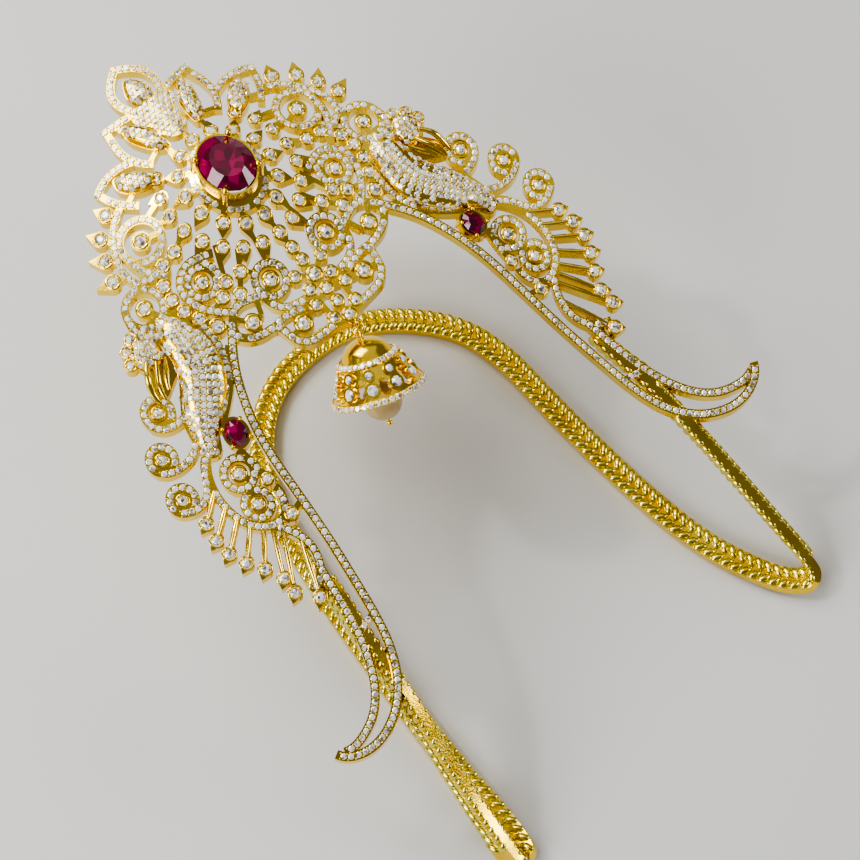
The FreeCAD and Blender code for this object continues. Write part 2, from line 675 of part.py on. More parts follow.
def loop(middle_at, axis, radius, wire):
    return Part.makeTorus(radius, wire, middle_at, axis)


hem_loop_at = pt(0, -30.1, face_height(0, -30.0) - SHEET / 2)
across_ring = V(1, 0, 0).cross(DROP_AXIS).normalize()
loop_axis = across_ring.cross(DROP_AXIS).normalize()
gold.append(loop(hem_loop_at, loop_axis, LOOP_R, LOOP_WIRE))
ring_at = hem_loop_at + DROP_AXIS * (LOOP_R + RING_R - LOOP_WIRE - RING_WIRE - LINK_GAP)
jump_ring = loop(ring_at, across_ring, RING_R, RING_WIRE)
cap_loop_at = ring_at + DROP_AXIS * (LOOP_R + RING_R - LOOP_WIRE - RING_WIRE - LINK_GAP)

# The bell's wall: radius and depth below its crown
BELL_WALL = [(1.1, 0.0), (2.6, 0.5), (3.8, 1.5), (4.5, 2.9), (4.9, 3.6), (5.9, 5.5), (7.0, 7.8), (8.0, 9.9)]
BELL_SHELL = 0.8
BELL_CEILING = 1.0
WINDOWS = 10

# The pearl's pin: soldered under the crown, through the drilled pearl to a small round head
PEARL_DEPTH = 11.7
PIN = 0.35
PIN_HEAD = 0.55
PEARL_SLACK = 0.1


def to_drop(shape, depth=0.0):
    """Set a shape made with its crown at the origin, hanging down, on the drop's axis."""
    top = cap_loop_at + DROP_AXIS * (LOOP_R - 0.15)
    shape.Placement = FreeCAD.Placement(top + DROP_AXIS * depth, FreeCAD.Rotation(V(0, 0, -1), DROP_AXIS))
    return shape


def bell():
    outside = [V(r, 0, -d) for r, d in BELL_WALL]
    inside = [V(r - BELL_SHELL * 0.9, 0, -d - (BELL_SHELL if d < 3 else 0.0)) for r, d in BELL_WALL[1:]]
    foot, foot_in = outside[-1], inside[-1]
    edges = [Part.makeLine(V(0, 0, 0), outside[0]), spline(outside).toShape(), Part.makeLine(foot, foot_in),
             spline(inside[::-1]).toShape(),
             Part.makeLine(inside[0], V(0, 0, inside[0].z)), Part.makeLine(V(0, 0, inside[0].z), V(0, 0, 0))]
    body = Part.Face(Part.Wire(edges)).revolve(V(0, 0, 0), V(0, 0, 1), 360)
    body = body.multiFuse([Part.makeTorus(4.8, 0.6, V(0, 0, -3.7)), Part.makeTorus(7.85, 0.6, V(0, 0, -9.8))])
    gaps = []
    for k in range(WINDOWS):
        a = 2 * pi * k / WINDOWS
        side = V(cos(a), sin(a), 0)
        gaps.append(Part.makeCone(0.5, 0.8, 7.0, side * 2.6 + V(0, 0, -5.2), side + V(0, 0, -0.3)))
        gaps.append(Part.makeCone(0.8, 1.15, 7.0, side * 3.2 + V(0, 0, -6.6), side + V(0, 0, -0.3)))
    body = body.cut(Part.Compound(gaps))
    cups = []
    for k in range(WINDOWS):
        a = 2 * pi * (k + 0.5) / WINDOWS
        for radius, depth, size in ((5.95, 5.2, 1.05), (6.95, 7.6, 1.35)):
            out = V(cos(a), sin(a), 0.42).normalize()
            cups.append(Part.makeCylinder(size, 1.3, V(radius * cos(a), radius * sin(a), -depth) - out * 0.9, out))
    body = body.multiFuse(cups)
    seats, gems = [], []
    for k in range(WINDOWS):
        a = 2 * pi * (k + 0.5) / WINDOWS
        for radius, depth, size in ((5.95, 5.2, 1.4), (6.95, 7.6, 2.0)):
            out = V(cos(a), sin(a), 0.42).normalize()
            at = V(radius * cos(a), radius * sin(a), -depth) + out * 0.4
            seats.append(Part.makeCone(0.06, size / 2 + 0.08, 0.46 * size + 0.1, at - out * 0.46 * size, out))
            seats.append(Part.makeCylinder(size / 2 + 0.06, 0.6, at - out * 0.15, out))
            g = gem(size, size, 0.17 * size, 0.4 * size)
            g.Placement = FreeCAD.Placement(at + out * 0.05, FreeCAD.Rotation(V(0, 0, 1), out))
            gems.append(g)
    return body.cut(Part.Compound(seats)), gems


bell_body, bell_gems = bell()
head_depth = PEARL_DEPTH + PEARL / 2 + PEARL_SLACK + PIN_HEAD
pin = Part.makeCylinder(PIN, head_depth - BELL_CEILING, V(0, 0, -head_depth))
head = Part.makeSphere(PIN_HEAD, V(0, 0, -head_depth))
bell_body = bell_body.multiFuse([pin, head])
bell_cap = to_drop(bell_body).fuse(loop(cap_loop_at, loop_axis, LOOP_R, LOOP_WIRE))
bell_stones = to_drop(Part.Compound(bell_gems))
drill = Part.makeCylinder(PIN + PEARL_SLACK, 2 * PEARL, V(0, 0, -PEARL))
bell_pearl = to_drop(Part.makeSphere(PEARL / 2).cut(drill), PEARL_DEPTH)

# Round stones of the front, each in its own hole
GROUPS = {}
for kind, x, y, stone in stones:
    for side in ((1, -1) if x > 0.01 else (1,)):
        g = seat(gem(stone, stone, 0.17 * stone, 0.42 * stone), side * x, y, STONE_LIFT)
        GROUPS.setdefault(kind, []).append(g)

# All the gold is soldered into one
gold_frame = gold[0].multiFuse(gold[1:])

NODES = {
    "gold_frame": gold_frame,
    "centre_ruby": centre_ruby,
    "right_ruby": small["right_ruby"],
    "left_ruby": small["left_ruby"],
    "jump_ring": jump_ring,
    "bell_cap": bell_cap,
    "bell_stones": bell_stones,
    "bell_pearl": bell_pearl,
}
for kind, solids in GROUPS.items():
    NODES[kind + "_stones"] = Part.Compound(solids)
for name, shape in NODES.items():
    shape.exportStep("parts/" + name + ".step")
    print(name, len(shape.Solids), round(shape.Volume, 1))
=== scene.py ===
import bpy
from math import cos, hypot, pi, radians, sin
from mathutils import Matrix, Vector


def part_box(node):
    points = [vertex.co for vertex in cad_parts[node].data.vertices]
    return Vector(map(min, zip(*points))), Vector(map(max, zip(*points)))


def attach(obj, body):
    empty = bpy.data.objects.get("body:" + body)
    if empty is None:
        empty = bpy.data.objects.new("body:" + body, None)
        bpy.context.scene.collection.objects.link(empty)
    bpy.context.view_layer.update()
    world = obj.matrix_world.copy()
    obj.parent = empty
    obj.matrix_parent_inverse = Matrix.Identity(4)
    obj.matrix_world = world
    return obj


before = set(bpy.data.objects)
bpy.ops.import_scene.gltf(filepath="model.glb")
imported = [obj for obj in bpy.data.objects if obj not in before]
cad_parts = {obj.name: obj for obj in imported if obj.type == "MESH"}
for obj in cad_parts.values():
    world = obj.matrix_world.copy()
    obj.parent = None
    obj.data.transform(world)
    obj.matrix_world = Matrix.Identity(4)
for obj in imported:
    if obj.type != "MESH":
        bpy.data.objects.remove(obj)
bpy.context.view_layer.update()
for thing in bpy.context.selected_objects:
    thing.select_set(False)

# Camera: the photograph's close look down onto the front, from the crest's left.
# A long lens.
CAMERA_AT = (-0.0999, -0.1112, 0.4295)
CAMERA_RIGHT = (0.71948, -0.69451, 0.0)
CAMERA_UP = (0.65355, 0.67705, 0.33835)
CAMERA_BACK = (-0.23499, -0.24344, 0.94102)
lens = bpy.data.cameras.new("camera")
lens.sensor_width = 36.0
lens.lens = 100.5
lens.clip_start = 0.01
camera = bpy.data.objects.new("camera", lens)
bpy.context.scene.collection.objects.link(camera)
turn = Matrix((CAMERA_RIGHT, CAMERA_UP, CAMERA_BACK)).transposed().to_4x4()
camera.matrix_world = Matrix.Translation(CAMERA_AT) @ turn
bpy.context.scene.camera = camera

# Floor: a plain pale sheet that the armlet's back band lies on.
# Matt, a little warm, far wider than the view.
FLOOR_HALF = 1.5
bpy.ops.mesh.primitive_plane_add(size=2 * FLOOR_HALF, location=(0, 0, -0.0003))
floor = bpy.context.object
floor.name = "floor"
floor_paint = bpy.data.materials.new("floor_paint")
floor_paint.use_nodes = True
floor_paint.node_tree.nodes["Principled BSDF"].inputs["Base Color"].default_value = (0.66, 0.65, 0.63, 1)
floor_paint.node_tree.nodes["Principled BSDF"].inputs["Roughness"].default_value = 0.8
floor.data.materials.append(floor_paint)

# Studio light: a soft box behind, a wide dim one overhead, two lower ones, and a small bright one.
# The small one gives the stones and the gold their sharp glints.
LIGHTS = {
    # name: place, size, power
    "top box": ((-0.08, 0.50, 0.60), 0.55, 4.8),
    "wide box": ((0.20, 0.22, 0.72), 0.95, 1.3),
    "side box": ((-0.60, 0.05, 0.40), 0.40, 3.4),
    "low box": ((0.45, -0.50, 0.30), 0.30, 1.8),
    "spark": ((-0.25, 0.45, 0.60), 0.05, 1.2),
}
for name, (place, size, power) in LIGHTS.items():
    lamp = bpy.data.lights.new(name, "AREA")
    lamp.size = size
    lamp.energy = power
    lit = bpy.data.objects.new(name, lamp)
    bpy.context.scene.collection.objects.link(lit)
    lit.location = place
    lit.rotation_euler = (Vector((0, 0, 0.04)) - Vector(place)).to_track_quat("-Z", "Y").to_euler()
studio = bpy.data.worlds.new("studio")
studio.use_nodes = True
studio.node_tree.nodes["Background"].inputs["Color"].default_value = (0.50, 0.50, 0.50, 1)
studio.node_tree.nodes["Background"].inputs["Strength"].default_value = 0.42
bpy.context.scene.world = studio
bpy.context.scene.view_settings.look = "AgX - High Contrast"
bpy.context.scene.view_settings.exposure = -0.5

# The soldered gold frame: medallion, wings, rails and back band, cast and pierced, then plated.
# Polished yellow gold, a little duller and greener on the drawn back band.


class Wire:
    """A socket of a shader, so that sums on it add Math nodes."""

    def __init__(self, paint, socket):
        self.paint = paint
        self.socket = socket

    def sum(self, operation, a, b):
        return self.paint.node("ShaderNodeMath", {"operation": operation}, {0: a, 1: b})

    def __add__(self, other):
        return self.sum("ADD", self, other)

    __radd__ = __add__

    def __mul__(self, other):
        return self.sum("MULTIPLY", self, other)

    __rmul__ = __mul__

    def __sub__(self, other):
        return self.sum("SUBTRACT", self, other)

    def __rsub__(self, other):
        return self.sum("SUBTRACT", other, self)


class Paint:
    """One material under way: its nodes are added one by one, and the last feed the surface."""

    def __init__(self, name, **fixed):
        self.material = bpy.data.materials.new(name)
        self.material.use_nodes = True
        self.tree = self.material.node_tree
        self.surface = self.tree.nodes["Principled BSDF"]
        for socket, value in fixed.items():
            self.surface.inputs[socket.replace("_", " ")].default_value = value
        self.place = self.node("ShaderNodeTexCoord", {}, {}, "Object")

    def node(self, kind, settings, values, out=0):
        n = self.tree.nodes.new(kind)
        for key, value in settings.items():
            if key == "stops":
                for k, (at, colour) in enumerate(value):
                    stop = n.color_ramp.elements[k] if k < 2 else n.color_ramp.elements.new(at)
                    stop.position = at
                    stop.color = colour
            else:
                setattr(n, key, value)
        for key, value in values.items():
            if isinstance(value, Wire):
                self.tree.links.new(value.socket, n.inputs[key])
            else:
                n.inputs[key].default_value = value
        return Wire(self, n.outputs[out])

    def feed(self, socket, value):
        self.tree.links.new(value.socket, self.surface.inputs[socket])

    def noise(self, scale, detail=2.0):
        return self.node("ShaderNodeTexNoise", {}, {"Vector": self.place, "Scale": scale, "Detail": detail})

    def ramp(self, value, *stops):
        return self.node("ShaderNodeValToRGB", {"stops": stops}, {"Fac": value})

    def bump(self, height, strength, distance):
        self.feed("Normal", self.node("ShaderNodeBump", {}, {"Height": height, "Strength": strength,
                                                             "Distance": distance}))


def gold_paint(name, bright, deep, rough, grain):
    """Polished gold: a slow change of its yellow, uneven polish and a very fine grain."""
    paint = Paint(name, Metallic=1.0)
    cloud = paint.noise(160.0)
    paint.feed("Base Color", paint.ramp(cloud, (0.3, (*deep, 1)), (0.7, (*bright, 1))))
    paint.feed("Roughness", paint.noise(420.0) * 0.14 + (rough - 0.07))
    paint.bump(paint.noise(grain, 3.0), 0.25, 0.00008)
    return paint.material


def dress(name, material):
    """Gives every surface of one solid its finish."""
    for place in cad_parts[name].material_slots:
        place.material = material


front_gold = gold_paint("front_gold", (1.0, 0.76, 0.15), (0.90, 0.60, 0.06), 0.17, 2600.0)
dress("gold_frame", front_gold)
dress("jump_ring", front_gold)
dress("bell_cap", front_gold)

# Fine pavé: a row of tiny white stones along each strip, and whole fields on leaves and birds.
# Each is set flush in the gold and held by small grains raised beside it.
LENGTH_SHIFT = 41.0
MM = 0.001
PAVE = 1.28
ROW_ROOM = 0.5
FIELD_ROOM = 0.46
BODY_ROOM = 0.48
STRIPS = {
    "inner rail": [
        (16.6, -17.4), (18.4, -19.4), (20.7, -22.4), (22.6, -25.8), (24.2, -29.6), (25.4, -33.6),
        (26.3, -38.4), (26.9, -43.4), (27.5, -48.4), (28.2, -53.6), (29.1, -58.8), (30.1, -64.2),
        (31.2, -69.0), (32.8, -73.4), (35.1, -77.1), (38.0, -79.9), (41.2, -81.6), (44.6, -82.4),
        (48.0, -82.0), (50.4, -80.7), (51.5, -79.2)
    ],
    "outer rail": [
        (32.3, -54.6), (32.9, -58.0), (33.6, -62.0), (34.6, -66.2), (36.0, -70.2), (37.8, -73.8),
        (40.1, -76.8), (42.7, -78.8), (45.5, -79.9), (48.2, -80.3), (50.2, -79.9)
    ],
    "crest side": [
        (3.0, 21.9), (3.9, 24.0), (4.0, 26.4), (2.8, 28.6), (1.1, 30.1), (-0.3, 31.0)
    ],
    "petal b": [
        (3.6, 21.9), (6.6, 22.4), (9.2, 22.7)
    ],
    "petal b side": [
        (8.9, 23.1), (9.6, 20.2), (9.9, 17.2), (9.1, 14.2), (7.5, 11.8)
    ],
    "petal c": [
        (9.6, 14.9), (12.0, 15.9), (14.8, 16.0), (17.8, 14.9)
    ],
    "petal c side": [
        (17.6, 15.4), (17.2, 12.8), (16.0, 10.4), (14.2, 8.2)
    ],
    "shoulder link": [
        (16.6, 10.4), (18.6, 9.5), (21.0, 7.4), (22.9, 4.6), (23.9, 1.6), (23.6, -1.2)
    ],
    "scroll tail": [
        (21.8, 3.4), (21.6, 0.2), (20.4, -2.2), (18.6, -4.6)
    ],
    "shoulder arc": [
        (20.6, -3.4), (22.2, -2.0), (24.6, -1.9)
    ],
    "shoulder drop": [
        (28.7, -4.6), (29.2, -7.0), (28.4, -9.2)
    ],
    "c scroll": [
        (10.9, -6.9), (13.0, -5.8), (16.0, -5.2), (18.6, -6.8), (19.2, -9.4), (18.3, -12.3),
        (16.4, -14.7), (15.0, -16.0)
    ],
    "c scroll in": [
        (13.4, -6.0), (12.6, -8.4), (12.6, -11.0)
    ],
    "lower arc": [
        (9.0, -17.4), (11.2, -16.4), (14.0, -15.8), (16.2, -17.2), (17.0, -19.4)
    ],
    "round tail": [
        (9.1, -17.0), (8.9, -19.4), (7.4, -21.3), (4.8, -22.2), (2.2, -22.6)
    ],
    "hem": [
        (17.2, -19.0), (15.6, -21.0), (13.2, -22.0), (11.0, -22.6), (10.3, -24.4), (9.9, -26.2),
        (8.2, -27.9), (5.8, -28.4), (3.2, -28.6), (0.0, -29.6)
    ],
    "hem in": [
        (11.4, -22.4), (9.4, -22.2), (7.2, -22.6), (4.6, -23.4)
    ],
    "body hem": [
        (20.8, -10.6), (20.4, -13.6), (20.3, -16.8), (21.1, -20.2), (23.3, -23.8), (26.6, -26.4),
        (29.8, -28.4)
    ],
    "curl one": [
        (31.6, -22.4), (34.0, -22.8), (36.8, -22.0), (38.0, -20.4)
    ],
    "curl two": [
        (33.6, -26.6), (36.2, -28.2), (39.4, -28.4), (41.8, -27.4)
    ],
    "curl three": [
        (34.0, -29.4), (36.4, -31.4), (38.6, -34.4), (41.2, -35.2), (43.6, -34.2)
    ],
    "great arc": [
        (34.4, -29.8), (36.5, -32.6), (37.6, -36.0), (37.6, -39.6), (36.5, -42.8), (34.0, -45.0),
        (31.3, -45.3), (29.6, -43.6), (29.1, -40.9)
    ],
    "small arc": [
        (29.6, -32.4), (29.3, -35.0), (29.2, -38.0)
    ],
    "fan loop": [
        (34.6, -44.4), (32.6, -46.8), (31.4, -49.4), (31.1, -52.0), (31.9, -54.6), (33.8, -56.6),
        (36.2, -57.6)
    ],
    "strut": [
        (26.6, -45.3), (31.6, -46.2)
    ],
    "low strut": [
        (29.9, -66.2), (34.4, -67.4)
    ],
    "rail start": [
        (21.0, -21.0), (19.2, -19.4)
    ],
}
FIELDS = {
    "leaf b": [
        (6.9, 21.2), (7.5, 18.6), (6.6, 15.6), (4.6, 12.6), (3.3, 12.0), (3.0, 14.6), (3.6, 17.6),
        (5.0, 20.2)
    ],
    "leaf c": [
        (14.6, 14.7), (14.8, 12.2), (13.0, 10.0), (10.4, 8.6), (8.8, 8.6), (9.0, 10.8),
        (10.6, 13.0), (12.6, 14.6)
    ],
    "neck": [
        (22.4, -8.6), (25.0, -7.6), (28.6, -8.0), (29.6, -9.6), (27.6, -11.4), (25.6, -14.4),
        (22.6, -14.4), (21.3, -11.2)
    ],
    "head": [
        (28.2, -9.8), (30.0, -8.0), (32.2, -8.6), (33.2, -11.0), (32.4, -13.4), (30.2, -14.2),
        (28.2, -12.8)
    ],
    "body": [
        (24.2, -8.8), (21.9, -11.6), (20.9, -16.0), (21.2, -20.0), (23.4, -23.6), (27.0, -26.0),
        (30.0, -28.2), (32.4, -31.0), (34.4, -30.2), (34.6, -26.6), (33.4, -22.8), (31.2, -20.0),
        (28.9, -17.0), (27.7, -13.6), (27.5, -10.6), (26.4, -8.8)
    ],
}
BODY = [
    # x, y, half width, half height
    (25.4, -8.6, 0.9, 0.8),
    (24.9, -11.4, 2.5, 1.5),
    (24.7, -15.6, 3.6, 2.0),
    (25.4, -19.2, 4.0, 2.1),
    (27.5, -22.2, 3.9, 2.1),
    (30.0, -24.8, 3.2, 1.9),
    (32.1, -27.4, 2.1, 1.5),
    (33.3, -30.2, 0.9, 0.8),
]
CREST_OUTLINE = [
    (0.0, 27.9), (1.5, 26.6), (2.2, 24.6), (1.8, 22.6), (3.6, 22.0), (4.4, 19.8), (2.9, 17.6),
    (2.6, 15.2), (1.0, 12.8)
]
CREST_STONES = [(30.8, -7.4), (32.7, -8.6), (33.7, -10.7)]
SCROLLS = [
    # x, y, ring radius, stone
    (18.2, 3.4, 3.7, 1.9),
    (25.6, -5.4, 3.3, 1.8),
    (15.5, -9.0, 2.5, 1.8),
    (6.45, -16.3, 2.7, 1.9),
    (35.7, -19.4, 2.3, 1.6),
    (40.5, -25.5, 2.15, 1.6),
    (42.4, -32.5, 2.15, 1.6),
    (32.2, -35.3, 2.6, 1.8),
    (33.2, -41.0, 2.3, 1.6),
]
CUPS = [
    # x, y, stone
    (12.5, -11.6, 1.7),
    (9.5, -12.1, 1.7),
    (14.6, -13.1, 1.7),
    (12.0, -14.7, 1.7),
    (13.6, -19.4, 1.9),
    (7.1, -25.0, 2.0),
    (3.0, -18.6, 1.5),
    (2.5, -21.7, 1.6),
    (3.4, -24.2, 1.5),
    (2.5, -27.7, 1.6),
    (15.4, -2.1, 1.7),
    (18.4, -2.4, 1.7),
    (20.7, -5.0, 1.7),
    (21.3, -7.6, 1.7),
    (21.0, -10.4, 1.7),
    (19.9, -13.0, 1.7),
    (18.5, -15.9, 1.9),
    (30.0, -45.9, 1.7),
    (29.2, -39.1, 1.5),
    (0.0, -14.8, 1.5),
    (0.0, -17.3, 1.5),
    (0.0, -20.2, 1.9),
    (0.0, -23.2, 1.6),
    (0.0, -25.9, 1.5),
    (0.0, -28.8, 1.7),
]
SPIKES = [(19.3, 11.2), (22.8, 8.7), (24.8, 5.3), (26.3, 1.7)]
FEATHERS = [
    # root x, root y, stone x, stone y
    (37.2, -34.6, 42.1, -37.9),
    (37.4, -37.6, 42.7, -41.0),
    (37.2, -40.2, 42.6, -44.0),
    (36.6, -42.6, 41.4, -46.9),
    (35.4, -44.6, 39.7, -49.6),
    (34.2, -45.6, 38.3, -52.7),
    (32.9, -46.6, 38.5, -55.6),
    (31.6, -49.8, 35.8, -58.9),
]
RING_MIDDLE = 0.9
RINGS = {
    # name: count, half width, half height, stone
    "inner": (14, 8.1, 9.1, 1.75),
    "outer": (22, 12.0, 12.7, 1.65),
}
SPIKE_STONE = 1.8
CREST_STONE = 1.6
SMALL_RUBY_ROOM = [(28.0, -30.3), (28.0, -28.4), (28.0, -32.2)]
gold_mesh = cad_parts["gold_frame"]


def surface_at(x, y):
    """The gold's face under a plan point in mm: its place and outward way, or None in a gap."""
    above = Vector((x * MM, (y + LENGTH_SHIFT) * MM, 0.2))
    hit, place, way, _ = gold_mesh.ray_cast(above, Vector((0, 0, -1)))
    if hit and way.z > 0.25:
        return place, way
    return None


def flat_around(x, y, reach, step):
    """Whether the gold carries a stone at a plan point, with its face level enough on all sides."""
    here = surface_at(x, y)
    if here is None:
        return None
    for k in range(4):
        a = pi / 4 + k * pi / 2
        side = surface_at(x + reach * cos(a), y + reach * sin(a))
        if side is None or abs(side[0].z - here[0].z) > step * MM:
            return None
    return here


def between(a, b, c, d, t):
    """A value on the smooth line from b to c, with a and d as their neighbours."""
    square, cube = (2 * a - 5 * b + 4 * c - d) * t**2, (3 * b - a - 3 * c + d) * t**3
    return 0.5 * (2 * b + (c - a) * t + square + cube)


def along_path(path, pitch, closed=False):
    """Evenly spaced points on a smooth line through plan points, each with its way onwards."""
    rows = path + path[:1] if closed else path
    fine = []
    for k in range(len(rows) - 1):
        p0 = rows[k - 1] if k else (rows[-2] if closed else rows[0])
        p1, p2 = rows[k], rows[k + 1]
        p3 = rows[k + 2] if k + 2 < len(rows) else (rows[1] if closed else rows[-1])
        for j in range(12):
            t = j / 12
            fine.append(tuple(between(*four, t) for four in zip(p0, p1, p2, p3)))
    fine.append(tuple(rows[-1]))
    lengths = [0.0]
    for a, b in zip(fine, fine[1:]):
        lengths.append(lengths[-1] + sum((q - p)**2 for p, q in zip(a, b))**0.5)
    count = max(1, round(lengths[-1] / pitch))
    out, k = [], 0
    for j in range(count if closed else count + 1):
        want = lengths[-1] * j / count
        while k < len(fine) - 2 and lengths[k + 1] < want:
            k += 1
        t = (want - lengths[k]) / max(1e-9, lengths[k + 1] - lengths[k])
        a, b = fine[k], fine[k + 1]
        out.append((tuple(p + (q - p) * t for p, q in zip(a, b)), tuple(q - p for p, q in zip(a, b))))
    return out


def frame_on(place, way, onwards):
    """A turn that stands a piece on a face, its own x pointing onwards."""
    z = way.normalized()
    y = z.cross(onwards).normalized()
    x = y.cross(z)
    return Matrix((x, y, z)).transposed().to_euler()


taken = []


def free(place, room):
    """Whether no stone set so far comes too near."""
    for other, size in taken:
        if (place - other).length < (room + size) * MM:
            return False
    return True


large = []
for name, (count, rx, ry, size) in RINGS.items():
    for k in range(count):
        a = radians(-90 + 360 * k / count)
        x, y = rx * cos(a), RING_MIDDLE + ry * sin(a)
        if x < -0.01 or (name == "outer" and -90 + 360 * k / count > 50):
            continue
        large.append((x, y, size))
large += [(x, y, size) for x, y, _, size in SCROLLS]
large += CUPS
large += [(x, y, SPIKE_STONE) for x, y in SPIKES]
large += [(x, y, SPIKE_STONE) for _, _, x, y in FEATHERS]
large += [(x, y, CREST_STONE) for x, y in CREST_STONES]
for x, y in SMALL_RUBY_ROOM:
    for side in (1, -1):
        hit = surface_at(side * x, y)
        if hit:
            taken.append((hit[0], 2.0))

claw_spots = []
for x, y, size in large:
    for side in ((1, -1) if x > 0.01 else (1,)):
        x_here = side * x
        rim = [surface_at(x_here + (size / 2 + 0.25) * cos(a), y + (size / 2 + 0.25) * sin(a))
               for a in (0.4, 0.4 + pi / 2, 0.4 + pi, 0.4 + 3 * pi / 2)]
        rim = [r for r in rim if r]
        if not rim:
            continue
        middle = sum((r[0] for r in rim), Vector()) / len(rim)
        middle.x, middle.y = x_here * MM, (y + LENGTH_SHIFT) * MM
        way = sum((r[1] for r in rim), Vector())
        outwards = Vector((x_here, y - RING_MIDDLE, 0)) if hypot(x_here, y) > 1 else Vector((1, 0, 0))
        claw_spots.append((middle, frame_on(middle, way, outwards), size))
        taken.append((middle, size / 2 + 0.1))

row_spots = []
HALO_WIDE = 5.88
HALO_HIGH = 6.92
HALO_PITCH = 1.4


def set_row(points):
    """One stone at each point of a row, and its twin on the other half, where the gold has room."""
    for (x, y), (dx, dy) in points:
        for side in (1, -1):
            hit = flat_around(side * x, y, 0.42, 0.9)
            if hit and free(hit[0], ROW_ROOM):
                turned = frame_on(*hit, Vector((side * dx, dy, 0)))
                row_spots.append((hit[0], turned, 1.0))
                taken.append((hit[0], ROW_ROOM))


for path in STRIPS.values():
    set_row(along_path(path, PAVE))
for x, y, radius, _ in SCROLLS:
    steps = [2 * pi * k / 12 for k in range(12)]
    circle = [(x + radius * cos(a), y + radius * sin(a)) for a in steps]
    set_row(along_path(circle, PAVE, True))
halo = []
for k in range(16):
    a = 2 * pi * k / 16
    halo.append((HALO_WIDE * cos(a), RING_MIDDLE + HALO_HIGH * sin(a)))
for (x, y), way in along_path(halo, HALO_PITCH, True):
    if x >= -0.01:
        set_row([((x, y), way)])

field_spots = []
FIELD_STEP = 1.12
FIELD_ROW = 0.98


def inside(x, y, outline):
    """Whether a plan point lies within a closed outline."""
    odd = False
    for (x0, y0), (x1, y1) in zip(outline, outline[1:] + outline[:1]):
        if (y0 > y) != (y1 > y) and x < (x1 - x0) * (y - y0) / (y1 - y0) + x0:
            odd = not odd
    return odd


def set_field(x, y):
    """One stone of a leaf, neck or head, and its twin on the other half."""
    for side in (1, -1):
        hit = flat_around(side * x, y, 0.3, 1.8)
        if hit and free(hit[0], FIELD_ROOM):
            field_spots.append((hit[0], frame_on(*hit, Vector((side, 0, 0))), 0.92))
            taken.append((hit[0], FIELD_ROOM))


def set_round(top, wide, high, out, onwards):
    """One row of stones over the bird's rounded body, from flank to flank."""
    middle = top - Vector((0, 0, high * MM))
    for turned in (1, -1):
        angle = 0.0
        while angle < 1.9:
            way = (out * turned * wide * sin(angle) + Vector((0, 0, high * cos(angle)))).normalized()
            hit, place, face, _ = gold_mesh.ray_cast(middle + way * (wide + 2.0) * MM, -way)
            near = hit and (place - middle).length < (max(wide, high) + 0.5) * MM
            if near and face.dot(way) > 0.2 and free(place, BODY_ROOM):
                field_spots.append((place, frame_on(place, face, onwards), 0.96))
                taken.append((place, BODY_ROOM))
            angle += 1.1 / hypot(wide * cos(angle), high * sin(angle))


for (x, y, wide, high), (dx, dy, _, _) in along_path(BODY, 1.1):
    length = hypot(dx, dy)
    across = (-dy / length, dx / length)
    for side in (1, -1):
        top = surface_at(side * x, y)
        out = Vector((side * across[0], across[1], 0))
        if top:
            set_round(top[0], wide, high, out, Vector((side * dx, dy, 0)))
plots = list(FIELDS.values())
plots.append(CREST_OUTLINE + [(-x, y) for x, y in CREST_OUTLINE[:0:-1]])
for edge in plots:
    low_x, high_x = min(x for x, y in edge), max(x for x, y in edge)
    low_y, high_y = min(y for x, y in edge), max(y for x, y in edge)
    for j in range(int((high_y - low_y) / FIELD_ROW) + 1):
        for k in range(int((high_x - low_x) / FIELD_STEP) + 2):
            x, y = low_x + (k + 0.5 * (j % 2)) * FIELD_STEP, low_y + 0.2 + j * FIELD_ROW
            if inside(x, y, edge) and x > -0.01:
                set_field(x, y)


